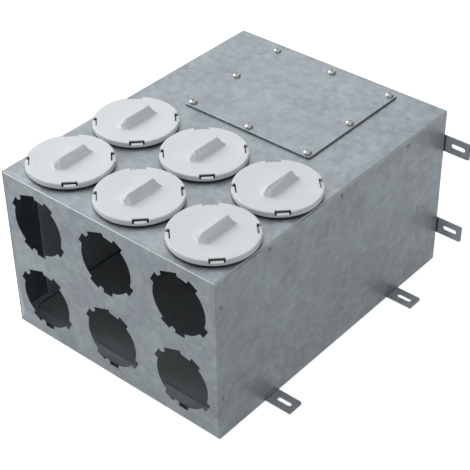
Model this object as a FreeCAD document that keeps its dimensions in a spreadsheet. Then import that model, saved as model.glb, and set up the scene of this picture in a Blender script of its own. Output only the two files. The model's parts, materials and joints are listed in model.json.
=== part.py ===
import FreeCAD, Part
import math
import os
import re
import Sketcher

# Duct plenum box: a sheet-metal box with six open duct ports in its front, six ports
# in its top closed by bayonet caps, a gasketed access plate and a round rear spigot.
# X runs across the box, Y from the front face to the spigot, Z up. The origin lies
# under the middle of the whole part, on the surface that its base straps stand on.

# Driving sizes in millimetres and degrees
SIZES = {
    # Box
    "boxWidth": 340.0,
    "boxLength": 452.0,
    "boxHeight": 234.0,
    "sheetThick": 1.0,
    "foldRadius": 2.0,
    "cornerRadius": 5.0,
    "flangeDepth": 15.0,
    "seamStep": 0.6,
    "flangeRelief": 2.0,
    "cutOver": 1.0,
    # Notched duct ports
    "portRadius": 40.0,
    "portPitch": 114.0,
    "portRowLow": 61.5,
    "portRowFront": 61.5,
    "notchOuter": 45.4,
    "notchWidth": 15.0,
    "keyNotchWidth": 14.5,
    "wideNotchOuter": 42.7,
    "wideNotchWidth": 27.0,
    "notchInner": 36.0,
    # Blanking caps
    "capRadius": 54.5,
    "capHeight": 9.0,
    "capWall": 1.8,
    "capSkin": 2.0,
    "capRimWidth": 2.5,
    "capRimSkin": 1.6,
    "capDish": 1.5,
    "capEdgeRadius": 1.5,
    "skirtRadius": 39.5,
    "skirtWall": 1.8,
    "lugRadius": 44.5,
    "lugWidth": 11.0,
    "lugThick": 2.2,
    "lugGap": 0.3,
    "rimLift": 2.5,
    "sealSetback": 0.5,
    "sealLip": 1.7,
    "sealGap": 0.3,
    "sealRib": 1.5,
    "windowWidth": 19.0,
    "windowInner": 48.6,
    "windowFloor": 4.2,
    "tabWidth": 14.6,
    "tabInner": 50.3,
    "tabTop": 6.1,
    "tabDrop": 0.5,
    "tabInset": 0.3,
    "tabRoot": 1.0,
    # Grip on each cap
    "gripWidth": 21.0,
    "gripFront": 26.0,
    "gripRear": 30.0,
    "bowShare": 0.26,
    "waistHeight": 13.0,
    "waistFront": 24.8,
    "waistRear": 25.0,
    "ridgeWidth": 3.2,
    "ridgeFront": 18.0,
    "ridgeRear": 23.0,
    "ridgeHeight": 18.8,
    "gripWall": 2.0,
    "gripRoot": 0.5,
    "gripEdgeRadius": 1.0,
    "gripBlend": 1.8,
    # Access plate
    "plateWidth": 202.0,
    "plateLength": 188.0,
    "plateFromRear": 106.7,
    "plateThick": 1.0,
    "plateCornerRadius": 5.0,
    "gasketThick": 1.5,
    "gasketSetback": 0.5,
    "plateLapAcross": 17.0,
    "plateLapAlong": 16.5,
    "accessCornerRadius": 12.0,
    "screwEdgeAcross": 8.5,
    "screwEdgeAlong": 8.0,
    "screwHeadRadius": 5.5,
    "screwHeadHeight": 4.0,
    "screwRadius": 2.4,
    "screwHoleRadius": 2.7,
    "screwLength": 11.0,
    "screwTip": 0.6,
    "threadGap": 0.05,
    "recessLength": 5.0,
    "recessWidth": 1.1,
    "recessDepth": 1.6,
    "nutRadius": 4.5,
    "nutHeight": 5.0,
    # Main spigot
    "spigotRadius": 62.5,
    "spigotThick": 0.8,
    "spigotLength": 50.0,
    "spigotFold": 1.5,
    "spigotHeight": 117.0,
    "spigotFlangeRadius": 77.5,
    "spigotHoleGap": 0.5,
    "spigotRivetRadius": 70.0,
    # Blind rivets
    "rivetRadius": 1.6,
    "rivetHeadRadius": 2.6,
    "rivetHeadHeight": 1.0,
    "rivetBulbRadius": 2.3,
    "rivetBulbHeight": 2.5,
    "rivetEdge": 8.0,
    "rivetFromFront": 92.0,
    "rivetFromRear": 90.0,
    "rivetFromBase": 59.5,
    "rivetFromTop": 38.5,
    "rivetFromSide": 60.0,
    # Mounting straps
    "strapWidth": 25.0,
    "strapThick": 1.5,
    "strapReach": 37.0,
    "strapHold": 35.0,
    "strapSlotCentre": 19.0,
    "strapSlotLength": 20.4,
    "strapSlotWidth": 6.0,
    "strapCornerRadius": 4.0,
    "strapSmallRadius": 1.0,
    "baseStrapFront": 98.3,
    "baseStrapFromRear": 100.3,
    "rearStrapLow": 53.5,
    "rearStrapFromTop": 49.6,
    # Sound-absorbing lining
    "liningThick": 6.0,
    "baseLiningStart": 29.0,
    "sideLiningStart": 47.0,
    "liningEdge": 16.0,
    "liningGap": 0.5,
    "liningHoleRadius": 80.0,
}

SPIGOT_RIVET_COUNT = 6

# Directions of the notches round a port, counted from the first sketch axis
MAIN_NOTCH_ANGLES = (60.0, 150.0, 240.0, 330.0)
KEY_NOTCH_ANGLE = 270.0
WIDE_NOTCH_ANGLE = 110.0
LOCKED_LUG_ANGLE = 30.0
WINDOW_ANGLE = 45.0

PORT_COLUMNS = 3
PORT_ROWS = 2
COLUMN_NAMES = ("left", "middle", "right")
ROW_NAMES = ("front", "rear")

doc = FreeCAD.newDocument("DuctPlenumBox")
sheet = doc.addObject("Spreadsheet::Sheet", "Sizes")
for row, (alias, value) in enumerate(SIZES.items(), start=1):
    sheet.set(f"A{row}", alias)
    sheet.set(f"B{row}", str(value))
    sheet.setAlias(f"B{row}", alias)
doc.recompute()

NODES = []

# Levels and planes that several pieces share, as formulas of the sheet
FRONT = "-(boxLength + spigotLength) / 2"
REAR = f"{FRONT} + boxLength"
BASE = "strapThick"
TOP = "strapThick + boxHeight"
HALF = "boxWidth / 2"
INNER_HALF = "boxWidth / 2 - sheetThick"
PLATE_MIDDLE = f"{REAR} - plateFromRear"
ACCESS_SIDE = "(plateWidth / 2 - plateLapAcross)"
ACCESS_END = "(plateLength / 2 - plateLapAlong)"


def formula(text):
    """Point every size name in the text at its cell of the sheet."""
    def pointed(word):
        name = word.group()
        return f"Sizes.{name}" if name in SIZES else name
    return re.sub(r"[A-Za-z]\w*", pointed, str(text))


def number(text):
    """Work out a formula of the sheet as a plain number."""
    return float(sheet.evalExpression(formula(text)))


def node(item, name):
    """Name an object as a sub-part that is checked and exported."""
    item.Label = name
    NODES.append(item)
    return item


def new_body(name):
    """Start a body and label it."""
    body = doc.addObject("PartDesign::Body", name)
    body.Label = name
    return body


def place(item, x="0", y="0", z="0", turn=None):
    """Bind an object's position to the sheet and turn it if asked."""
    if turn is not None:
        item.Placement = FreeCAD.Placement(FreeCAD.Vector(), turn)
    for axis, text in zip("xyz", (x, y, z)):
        item.setExpression(f"Placement.Base.{axis}", formula(text))


def sketch_on(body, name, role, away="0", right="0", up="0", turn=None):
    """Attach a sketch to one of its body's origin planes, at an offset."""
    sketch = body.newObject("Sketcher::SketchObject", name)
    plane = [item for item in body.Origin.OriginFeatures if item.Role == role][0]
    sketch.AttachmentSupport = [(plane, "")]
    sketch.MapMode = "FlatFace"
    if turn is not None:
        sketch.AttachmentOffset = FreeCAD.Placement(FreeCAD.Vector(), turn)
    for axis, text in zip("xyz", (right, up, away)):
        sketch.setExpression(f"AttachmentOffset.Base.{axis}", formula(text))
    return sketch


def hold(sketch, kind, *where, value):
    """Add a distance constraint and bind it to a formula."""
    index = sketch.addConstraint(Sketcher.Constraint(kind, *where, number(value)))
    sketch.setExpression(f"Constraints[{index}]", formula(value))


def polygon(sketch, corners):
    """Draw a closed outline through corners given as pairs of formulas."""
    points = [FreeCAD.Vector(number(x), number(y), 0) for x, y in corners]
    first = sketch.GeometryCount
    count = len(points)
    for index in range(count):
        line = Part.LineSegment(points[index], points[(index + 1) % count])
        sketch.addGeometry(line)
    for index in range(count):
        after = first + (index + 1) % count
        sketch.addConstraint(Sketcher.Constraint("Coincident", first + index, 2, after, 1))
    for index, (x, y) in enumerate(corners):
        hold(sketch, "DistanceX", -1, 1, first + index, 1, value=x)
        hold(sketch, "DistanceY", -1, 1, first + index, 1, value=y)
    return first


def rectangle(sketch, left, right, bottom, top):
    """Draw a rectangle whose sides are bound to formulas."""
    corners = [(left, bottom), (right, bottom), (right, top), (left, top)]
    return polygon(sketch, corners)


def circle(sketch, radius, x="0", y="0"):
    """Draw a circle bound to a radius and a centre."""
    centre = FreeCAD.Vector(number(x), number(y), 0)
    ring = Part.Circle(centre, FreeCAD.Vector(0, 0, 1), number(radius))
    index = sketch.addGeometry(ring)
    hold(sketch, "Radius", index, value=radius)
    hold(sketch, "DistanceX", -1, 1, index, 3, value=x)
    hold(sketch, "DistanceY", -1, 1, index, 3, value=y)


def turned_slot(sketch, angle, inner, outer, width):
    """Draw a rectangle from an inner to an outer distance along a direction."""
    along = FreeCAD.Vector(math.cos(math.radians(angle)), math.sin(math.radians(angle)), 0)
    across = FreeCAD.Vector(-along.y, along.x, 0) * (number(width) / 2)
    near = along * number(inner)
    far = along * number(outer)
    corners = [near - across, far - across, far + across, near + across]
    first = sketch.GeometryCount
    for index in range(4):
        sketch.addGeometry(Part.LineSegment(corners[index], corners[(index + 1) % 4]))
    spoke = sketch.addGeometry(Part.LineSegment(FreeCAD.Vector(), far), True)
    for index in range(4):
        after = first + (index + 1) % 4
        sketch.addConstraint(Sketcher.Constraint("Coincident", first + index, 2, after, 1))
    for index in range(3):
        sketch.addConstraint(Sketcher.Constraint("Perpendicular", first + index, first + index + 1))
    sketch.addConstraint(Sketcher.Constraint("Coincident", spoke, 1, -1, 1))
    sketch.addConstraint(Sketcher.Constraint("Perpendicular", spoke, first + 1))
    sketch.addConstraint(Sketcher.Constraint("Symmetric", first + 1, 1, first + 1, 2, spoke, 2))
    sketch.addConstraint(Sketcher.Constraint("Angle", spoke, math.radians(angle)))
    hold(sketch, "Distance", spoke, value=outer)
    hold(sketch, "Distance", first + 1, value=width)
    hold(sketch, "Distance", first, value=f"{outer} - ({inner})")


def settle(feature):
    """Recompute the document and stop if the feature failed."""
    doc.recompute()
    if "Invalid" in feature.State or feature.Shape.isNull():
        raise RuntimeError(f"{feature.FullName} failed")
    return feature


def pad(body, sketch, name, length, reverse=False, middle=False):
    """Pad a sketch by a bound length."""
    feature = body.newObject("PartDesign::Pad", name)
    feature.Profile = sketch
    feature.setExpression("Length", formula(length))
    feature.Reversed = reverse
    if middle:
        feature.Midplane = True
    sketch.Visibility = False
    return settle(feature)


def pocket(body, sketch, name, length, reverse=False):
    """Cut a sketch to a bound depth and make sure that it removed metal."""
    before = body.Shape.Volume
    feature = body.newObject("PartDesign::Pocket", name)
    feature.Profile = sketch
    feature.setExpression("Length", formula(length))
    feature.Reversed = reverse
    sketch.Visibility = False
    settle(feature)
    if before - feature.Shape.Volume < 1e-3:
        raise RuntimeError(f"{body.Label}: {name} cuts nothing")
    return feature


def revolve(body, sketch, name, axis):
    """Turn a sketch once round one of its axes."""
    feature = body.newObject("PartDesign::Revolution", name)
    feature.Profile = sketch
    feature.ReferenceAxis = (sketch, [axis])
    feature.Angle = 360.0
    sketch.Visibility = False
    return settle(feature)


def straight_edges(shape, direction, near=None):
    """Name the straight edges along a direction whose middle passes a test."""
    names = []
    for index, edge in enumerate(shape.Edges, start=1):
        if edge.Degenerated or edge.Curve.TypeId != "Part::GeomLine":
            continue
        aim = edge.Vertexes[-1].Point - edge.Vertexes[0].Point
        if aim.Length < 1e-6 or abs(aim.normalize().dot(direction)) < 0.999:
            continue
        if near is None or near(edge.CenterOfMass):
            names.append(f"Edge{index}")
    return names


def round_edges(body, name, edges, radius):
    """Fillet the named edges of the body's last feature."""
    if not edges:
        raise RuntimeError(f"{body.Label}: {name} has no edges")
    base = body.Tip
    feature = body.newObject("PartDesign::Fillet", name)
    feature.Base = (base, edges)
    feature.setExpression("Radius", formula(radius))
    return settle(feature)


def level_edges(shape, height, inside=None):
    """Name the edges that lie wholly at a height and whose middle passes a test."""
    names = []
    for index, edge in enumerate(shape.Edges, start=1):
        box = edge.BoundBox
        if max(abs(box.ZMin - height), abs(box.ZMax - height)) > 1e-3:
            continue
        if inside is None or inside(edge.CenterOfMass):
            names.append(f"Edge{index}")
    return names


X_WAY = FreeCAD.Vector(1, 0, 0)
Y_WAY = FreeCAD.Vector(0, 1, 0)
Z_WAY = FreeCAD.Vector(0, 0, 1)


def close(left, right, gap=0.01):
    """Tell whether two numbers agree."""
    return abs(left - right) < gap


# Duct ports: a round hole with four bayonet notches, a key notch and a wide notch
def cut_ports(body, role, away, row_start, reverse):
    """Cut a grid of three by two notched ports through a panel."""
    spots = {"away": away, "right": "-portPitch", "up": row_start}
    depth = "4 * sheetThick"
    ring = sketch_on(body, "PortRing", role, **spots)
    circle(ring, "portRadius")
    hole = pocket(body, ring, "PortHole", depth, reverse)
    slots = sketch_on(body, "PortSlots", role, **spots)
    for angle in MAIN_NOTCH_ANGLES:
        turned_slot(slots, angle, "notchInner", "notchOuter", "notchWidth")
    turned_slot(slots, KEY_NOTCH_ANGLE, "notchInner", "notchOuter", "keyNotchWidth")
    turned_slot(slots, WIDE_NOTCH_ANGLE, "notchInner", "wideNotchOuter", "wideNotchWidth")
    notches = pocket(body, slots, "PortNotches", depth, reverse)
    grid = body.newObject("PartDesign::MultiTransform", "PortGrid")
    steps = []
    for name, axis, count in (("Across", "H_Axis", PORT_COLUMNS), ("Along", "V_Axis", PORT_ROWS)):
        step = body.newObject("PartDesign::LinearPattern", f"Ports{name}")
        step.Direction = (ring, [axis])
        step.Occurrences = count
        step.setExpression("Length", formula(f"portPitch * {count - 1}"))
        steps.append(step)
    grid.Originals = [hole, notches]
    grid.Transformations = steps
    body.Tip = grid
    return settle(grid)


def cut_side_rivet_holes(body, spots):
    """Cut the same rivet holes through both side walls."""
    holes = sketch_on(body, "SideRivets", "YZ_Plane", away="-boxWidth")
    for x, y in spots:
        circle(holes, "rivetRadius", x, y)
    return pocket(body, holes, "SideRivetHoles", "2 * boxWidth", True)


def cut_rear_rivet_holes(body, spots):
    """Cut rivet holes through whatever lies along the rear face."""
    holes = sketch_on(body, "RearRivets", "XZ_Plane", away=f"-({REAR}) + 3 * sheetThick")
    for x, y in spots:
        circle(holes, "rivetRadius", x, y)
    return pocket(body, holes, "RearRivetHoles", "4 * sheetThick")


# Rivet places as pairs of formulas: along the side wall and across the rear wall
RIVET_LEVEL = f"{TOP} - rivetEdge"
SIDE_TOP_SPOTS = [(f"{FRONT} + rivetFromFront", RIVET_LEVEL), (f"{FRONT} + boxLength / 2", RIVET_LEVEL),
                  (f"{REAR} - rivetFromRear", RIVET_LEVEL)]
SIDE_FRONT_SPOTS = [(f"{FRONT} + rivetEdge", f"{BASE} + rivetFromBase"),
                    (f"{FRONT} + rivetEdge", f"{TOP} - rivetFromTop")]
REAR_SPOTS = [(f"-({HALF} - rivetFromSide)", RIVET_LEVEL), (f"{HALF} - rivetFromSide", RIVET_LEVEL)]
SPIGOT_SPOTS = [
    (f"spigotRivetRadius * cos({360 / SPIGOT_RIVET_COUNT * step + 30})",
     f"{BASE} + spigotHeight + spigotRivetRadius * sin({360 / SPIGOT_RIVET_COUNT * step + 30})")
    for step in range(SPIGOT_RIVET_COUNT)
]


def front_panel():
    """Make the folded front tray with its six duct ports."""
    body = new_body("front_panel")
    outline = sketch_on(body, "Outline", "XZ_Plane", away=f"-({FRONT})")
    low = f"{BASE} + sheetThick"
    high = f"{TOP} - sheetThick"
    rectangle(outline, f"-({INNER_HALF})", INNER_HALF, low, high)
    block = pad(body, outline, "Block", "flangeDepth", reverse=True)
    face = number(FRONT)
    corners = straight_edges(block.Shape, Y_WAY)
    folds = straight_edges(block.Shape, X_WAY, lambda spot: close(spot.y, face))
    folds += straight_edges(block.Shape, Z_WAY, lambda spot: close(spot.y, face))
    round_edges(body, "OuterFolds", corners + folds, "foldRadius")
    hollow = sketch_on(body, "Hollow", "XZ_Plane", away=f"-({FRONT}) - sheetThick")
    rectangle(hollow, f"-({INNER_HALF}) + sheetThick", f"{INNER_HALF} - sheetThick",
              f"{low} + sheetThick", f"{high} - sheetThick")
    inside = pocket(body, hollow, "Inside", "flangeDepth")
    wall = face + number("sheetThick")
    reach = number(INNER_HALF) - number("sheetThick")
    corners = straight_edges(inside.Shape, Y_WAY, lambda spot: close(abs(spot.x), reach))
    folds = straight_edges(inside.Shape, X_WAY, lambda spot: close(spot.y, wall))
    folds += straight_edges(inside.Shape, Z_WAY, lambda spot: close(spot.y, wall))
    round_edges(body, "InnerFolds", corners + folds, "foldRadius - sheetThick")
    cut_ports(body, "XZ_Plane", f"-({FRONT}) + sheetThick", f"{BASE} + portRowLow", False)
    cut_side_rivet_holes(body, SIDE_FRONT_SPOTS)
    return node(body, "front_panel")


def pan(name, low, high, open_down):
    """Make a panel with flanges at its two sides and its rear."""
    body = new_body(name)
    front = f"{FRONT} + seamStep"
    rear = f"{REAR} - sheetThick"
    outline = sketch_on(body, "Outline", "XY_Plane", away=low)
    rectangle(outline, f"-({INNER_HALF})", INNER_HALF, front, rear)
    pad(body, outline, "Block", f"{high} - ({low})")
    behind = number(rear)
    ahead = number(front)
    floor = low if open_down else f"{low} + sheetThick"
    hollow = sketch_on(body, "Hollow", "XY_Plane", away=floor)
    rectangle(hollow, f"-({INNER_HALF}) + sheetThick", f"{INNER_HALF} - sheetThick",
              f"{front} - cutOver", f"{rear} - sheetThick")
    inside = pocket(body, hollow, "Inside", "flangeDepth", True)
    back = behind - number("sheetThick")
    corners = straight_edges(inside.Shape, Z_WAY, lambda spot: close(spot.y, back))
    round_edges(body, "InnerCorners", corners, "cornerRadius - 2 * sheetThick")
    skin = number(high) if open_down else number(low)
    under = skin - number("sheetThick") if open_down else skin + number("sheetThick")
    reach = number(INNER_HALF) - number("sheetThick") + 0.01

    def at_fold(spot):
        """Tell whether an edge middle lies on the inner fold line."""
        return ahead + 0.01 < spot.y < back + 0.01 and abs(spot.x) < reach
    folds = level_edges(body.Shape, under, at_fold)
    round_edges(body, "InnerFolds", folds, "foldRadius - sheetThick")
    corners = straight_edges(body.Shape, Z_WAY, lambda spot: close(spot.y, behind))
    round_edges(body, "OuterCorners", corners, "cornerRadius - sheetThick")
    folds = level_edges(body.Shape, skin, lambda spot: spot.y > ahead + 0.01)
    round_edges(body, "OuterFolds", folds, "foldRadius")
    start = f"{low} - cutOver" if open_down else f"{low} + sheetThick"
    relief = sketch_on(body, "Relief", "XY_Plane", away=start)
    rectangle(relief, f"-({HALF})", HALF, f"{front} - cutOver", f"{FRONT} + flangeDepth + flangeRelief")
    pocket(body, relief, "FrontRelief", "flangeDepth + cutOver", True)
    return body


def top_panel():
    """Make the top panel with its capped ports and access opening."""
    body = pan("top_panel", f"{TOP} - sheetThick - flangeDepth", TOP, True)
    cut_ports(body, "XY_Plane", f"{TOP} + sheetThick", f"{FRONT} + portRowFront", False)
    window = sketch_on(body, "Access", "XY_Plane", away=f"{TOP} + sheetThick",
                       up=PLATE_MIDDLE)
    rectangle(window, f"-{ACCESS_SIDE}", ACCESS_SIDE, f"-{ACCESS_END}", ACCESS_END)
    opening = pocket(body, window, "AccessOpening", "4 * sheetThick")
    middle = number(PLATE_MIDDLE)
    wide = number(ACCESS_SIDE)
    deep = number(ACCESS_END)
    corners = straight_edges(opening.Shape, Z_WAY, lambda spot: close(abs(spot.x), wide)
                             and close(abs(spot.y - middle), deep))
    round_edges(body, "AccessCorners", corners, "accessCornerRadius")
    cut_screw_holes(body, f"{TOP} + sheetThick", "4 * sheetThick")
    cut_side_rivet_holes(body, SIDE_TOP_SPOTS)
    cut_rear_rivet_holes(body, REAR_SPOTS)
    return node(body, "top_panel")


def screw_spots():
    """List the eight screw centres round the access plate."""
    across = "(plateWidth / 2 - screwEdgeAcross)"
    along = "(plateLength / 2 - screwEdgeAlong)"
    spots = []
    for column in (-1, 0, 1):
        for line in (-1, 0, 1):
            if (column, line) != (0, 0):
                spots.append((f"{column} * {across}", f"{PLATE_MIDDLE} + {line} * {along}"))
    return spots


def cut_screw_holes(body, away, depth):
    """Cut the clearance holes of the plate screws."""
    holes = sketch_on(body, "ScrewHoles", "XY_Plane", away=away)
    for x, y in screw_spots():
        circle(holes, "screwHoleRadius", x, y)
    return pocket(body, holes, "ScrewHolesCut", depth)


def side_wrap():
    """Make the sheet that wraps round the left, rear and right sides."""
    body = new_body("side_wrap")
    outline = sketch_on(body, "Outline", "XY_Plane", away=BASE)
    front = f"{FRONT} + seamStep"
    rectangle(outline, f"-({HALF})", HALF, front, REAR)
    pad(body, outline, "Block", "boxHeight - sheetThick")
    behind = number(REAR)
    hollow = sketch_on(body, "Hollow", "XY_Plane", away=BASE)
    rectangle(hollow, f"-({INNER_HALF})", INNER_HALF, f"{front} - cutOver", f"{REAR} - sheetThick")
    inside = pocket(body, hollow, "Inside", "boxHeight", True)
    back = behind - number("sheetThick")
    corners = straight_edges(inside.Shape, Z_WAY, lambda spot: close(spot.y, back))
    round_edges(body, "InnerCorners", corners, "cornerRadius - sheetThick")
    corners = straight_edges(body.Shape, Z_WAY, lambda spot: close(spot.y, behind))
    round_edges(body, "OuterCorners", corners, "cornerRadius")
    mouth = sketch_on(body, "SpigotMouth", "XZ_Plane", away=f"-({REAR}) - sheetThick")
    circle(mouth, "spigotRadius + spigotHoleGap", "0", f"{BASE} + spigotHeight")
    pocket(body, mouth, "SpigotHole", "4 * sheetThick", True)
    cut_side_rivet_holes(body, SIDE_TOP_SPOTS + SIDE_FRONT_SPOTS)
    cut_rear_rivet_holes(body, REAR_SPOTS + SPIGOT_SPOTS)
    return node(body, "side_wrap")


# Blanking caps: each is modelled at the origin and placed over its port
def cap_spots():
    """List each cap's name and centre, the front row first."""
    spots = []
    for line, row_name in enumerate(ROW_NAMES):
        for column, column_name in enumerate(COLUMN_NAMES):
            x = f"{column - 1} * portPitch"
            y = f"{FRONT} + portRowFront + {line} * portPitch"
            spots.append((f"{row_name}_{column_name}", x, y))
    return spots


def blanking_cap(name, x, y):
    """Make a moulded bayonet cap with four windows and a hollow grip."""
    body = new_body(name)
    shell_section(body)
    cap_windows(body)
    cap_lugs(body)
    cap_grip(body)
    place(body, x, y, TOP)
    return node(body, name)


def shell_section(body):
    """Revolve the dished disc, its rim, its seal rib and its skirt."""
    section = sketch_on(body, "Section", "XZ_Plane")
    under = "capHeight - capDish - capSkin"
    step = "capHeight - capRimWidth"
    foot = "-(sheetThick + lugGap + lugThick)"
    roof = "capHeight - capRimSkin"
    seat = "tabInner - 2 * sealGap - sealLip"
    inner_wall = "capRadius - capWall"
    dish_end = "capRadius - capRimWidth"
    path = [
        ("0", "capHeight - capDish"), ("0", under),
        ("skirtRadius - skirtWall", under), ("skirtRadius - skirtWall", foot),
        ("skirtRadius", foot), ("skirtRadius", step),
        (f"{seat} - sealRib", step), (f"{seat} - sealRib", "rimLift"),
        (seat, "rimLift"), (seat, roof),
        (inner_wall, roof), (inner_wall, "rimLift"),
        ("capRadius", "rimLift"), ("capRadius", "capHeight"), (dish_end, "capHeight"),
    ]
    points = [FreeCAD.Vector(number(across), number(up), 0) for across, up in path]
    for index in range(len(points) - 1):
        section.addGeometry(Part.LineSegment(points[index], points[index + 1]))
    reach = number(dish_end)
    sag = number("capDish")
    radius = (reach ** 2 + sag ** 2) / (2 * sag)
    half = FreeCAD.Vector(reach / 2, points[0].y + radius - math.sqrt(radius ** 2 - reach ** 2 / 4), 0)
    dish = section.addGeometry(Part.Arc(points[-1], half, points[0]))
    for index in range(len(points) - 2):
        section.addConstraint(Sketcher.Constraint("Coincident", index, 2, index + 1, 1))
    for index, (across, up) in enumerate(path[:-1]):
        hold(section, "DistanceX", -1, 1, index, 1, value=across)
        hold(section, "DistanceY", -1, 1, index, 1, value=up)
    last = len(points) - 2
    hold(section, "DistanceX", -1, 1, last, 2, value=dish_end)
    hold(section, "DistanceY", -1, 1, last, 2, value="capHeight")
    ends = sorted((1, 2), key=lambda end: section.getPoint(dish, end).x)
    section.addConstraint(Sketcher.Constraint("Coincident", dish, ends[0], 0, 1))
    section.addConstraint(Sketcher.Constraint("Coincident", dish, ends[1], last, 2))
    hold(section, "Radius", dish, value=f"(({dish_end}) ^ 2 + capDish ^ 2) / (2 * capDish)")
    revolve(body, section, "Shell", "V_Axis")
    round_edges(body, "RimEdge", round_level(body, "capHeight", "capRadius"), "capEdgeRadius")


def cap_windows(body):
    """Cut the four rim windows and leave a sloped tab standing in each."""
    spun = FreeCAD.Rotation(Z_WAY, WINDOW_ANGLE)
    window = sketch_on(body, "Window", "XY_Plane", away="windowFloor", turn=spun)
    rectangle(window, "windowInner", "capRadius + cutOver", "-windowWidth / 2", "windowWidth / 2")
    cut = pocket(body, window, "WindowCut", "capHeight", True)
    leaning = FreeCAD.Rotation(Y_WAY, WINDOW_ANGLE)
    tab = sketch_on(body, "Tab", "XZ_Plane", turn=leaning)
    foot = "windowFloor - tabRoot"
    face = "capRadius - tabInset"
    polygon(tab, [("tabInner", foot), (face, foot), (face, "tabTop - tabDrop"), ("tabInner", "tabTop")])
    rise = pad(body, tab, "TabPad", "tabWidth", middle=True)
    ring = body.newObject("PartDesign::PolarPattern", "WindowRing")
    ring.Originals = [cut, rise]
    ring.Axis = (window, ["N_Axis"])
    ring.Angle = 360
    ring.Occurrences = 4
    body.Tip = ring
    settle(ring)


def cap_lugs(body):
    """Add the four bayonet lugs that grip under the sheet."""
    lug = sketch_on(body, "Lug", "XY_Plane", away="-(sheetThick + lugGap)",
                    turn=FreeCAD.Rotation(Z_WAY, LOCKED_LUG_ANGLE))
    rectangle(lug, "skirtRadius - skirtWall / 2", "lugRadius", "-lugWidth / 2", "lugWidth / 2")
    first = pad(body, lug, "LugPad", "lugThick", reverse=True)
    ring = body.newObject("PartDesign::PolarPattern", "LugRing")
    ring.Originals = [first]
    ring.Axis = (lug, ["N_Axis"])
    ring.Angle = 360
    ring.Occurrences = 4
    body.Tip = ring
    settle(ring)


def boat(body, name, level, width, front, rear):
    """Draw the grip's plan: a blunt pointed bow, straight sides and a flat stern."""
    plan = sketch_on(body, name, "XY_Plane", away=level)
    side = f"({width}) / 2"
    shoulder = f"({width}) * bowShare - ({front})"
    polygon(plan, [("0", f"-({front})"), (side, shoulder), (side, rear), (f"-{side}", rear),
                   (f"-{side}", shoulder)])
    return plan


def boat_loft(body, kind, name, foot_level, top_level, trim):
    """Loft the grip's form from its foot over its waist to a level near its ridge."""
    def above_waist(waist, ridge):
        """Give the size at the top level of what tapers evenly from waist to ridge."""
        share = f"(({top_level}) - waistHeight) / (ridgeHeight - waistHeight)"
        return f"({waist}) + ({ridge} - ({waist})) * {share}"
    waist_width = "(gripWidth + ridgeWidth) / 2"
    sections = [
        ("Foot", foot_level, "gripWidth", "gripFront", "gripRear"),
        ("Waist", "waistHeight", waist_width, "waistFront", "waistRear"),
        ("Top", top_level, above_waist(waist_width, "ridgeWidth"), above_waist("waistFront", "ridgeFront"),
         above_waist("waistRear", "ridgeRear"))]
    plans = []
    for part, level, width, front, rear in sections:
        plans.append(boat(body, f"{name}{part}", level, f"{width} - 2 * {trim}", f"{front} - {trim}",
                          f"{rear} - {trim}"))
    loft = body.newObject(kind, name)
    loft.Profile = plans[0]
    loft.Sections = plans[1:]
    loft.Ruled = True
    for plan in plans:
        plan.Visibility = False
    return settle(loft)


def foot_edges(shape):
    """Name the edges where the grip meets the dished skin."""
    wide = number("gripWidth") / 2 + 0.1
    front = -number("gripFront") - 0.1
    rear = number("gripRear") + 0.1
    skin = number("capHeight - capDish") - 0.1
    rim = number("capHeight")
    names = []
    for index, edge in enumerate(shape.Edges, start=1):
        box = edge.BoundBox
        if edge.Degenerated or max(box.XMax, -box.XMin) > wide or box.YMin < front or box.YMax > rear:
            continue
        if box.ZMin > skin and box.ZMax < rim:
            names.append(f"Edge{index}")
    return names


def cap_grip(body):
    """Raise the boat-shaped grip, hollow it from below, and round and blend it."""
    foot_level = "capHeight - capDish - gripRoot"
    boat_loft(body, "PartDesign::AdditiveLoft", "Grip", foot_level, "ridgeHeight", "0")
    boat_loft(body, "PartDesign::SubtractiveLoft", "GripHollow", "capHeight - capDish - capSkin",
              "ridgeHeight - 2 * gripWall", "gripWall")
    ridge = level_edges(body.Shape, number("ridgeHeight"))
    round_edges(body, "RidgeEdge", ridge, "gripEdgeRadius")
    round_edges(body, "FootBlend", foot_edges(body.Shape), "gripBlend")


def cap_seal(name, x, y):
    """Make the soft ring between a cap's rim and the top panel."""
    body = new_body(name)
    plan = sketch_on(body, "Plan", "XY_Plane")
    circle(plan, "capRadius - sealSetback")
    circle(plan, "tabInner - sealGap - sealLip")
    pad(body, plan, "Ring", "rimLift")
    lip = sketch_on(body, "LipPlan", "XY_Plane")
    circle(lip, "tabInner - sealGap")
    circle(lip, "tabInner - sealGap - sealLip")
    pad(body, lip, "Lip", "capHeight - capRimSkin")
    place(body, x, y, TOP)
    return node(body, name)


# Access plate on its gasket
def plate_blank(name, level, thick, setback):
    """Make a flat blank with rounded corners and the screw holes."""
    body = new_body(name)
    outline = sketch_on(body, "Outline", "XY_Plane", away=level, up=PLATE_MIDDLE)
    rectangle(outline, f"-plateWidth / 2 + {setback}", f"plateWidth / 2 - {setback}",
              f"-plateLength / 2 + {setback}", f"plateLength / 2 - {setback}")
    blank = pad(body, outline, "Blank", thick)
    corners = straight_edges(blank.Shape, Z_WAY)
    round_edges(body, "Corners", corners, "plateCornerRadius")
    return body


def access_plate():
    """Make the plate that closes the access opening."""
    body = plate_blank("access_plate", f"{TOP} + gasketThick", "plateThick", "0")
    cut_screw_holes(body, f"{TOP} + gasketThick + 2 * plateThick", "4 * plateThick")
    return node(body, "access_plate")


def access_gasket():
    """Make the foam frame under the access plate."""
    body = plate_blank("access_gasket", TOP, "gasketThick", "gasketSetback")
    window = sketch_on(body, "Window", "XY_Plane", away=f"{TOP} + 2 * gasketThick",
                       up=PLATE_MIDDLE)
    rectangle(window, f"-{ACCESS_SIDE}", ACCESS_SIDE, f"-{ACCESS_END}", ACCESS_END)
    pocket(body, window, "WindowCut", "4 * gasketThick")
    cut_screw_holes(body, f"{TOP} + 2 * gasketThick", "4 * gasketThick")
    return node(body, "access_gasket")


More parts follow.
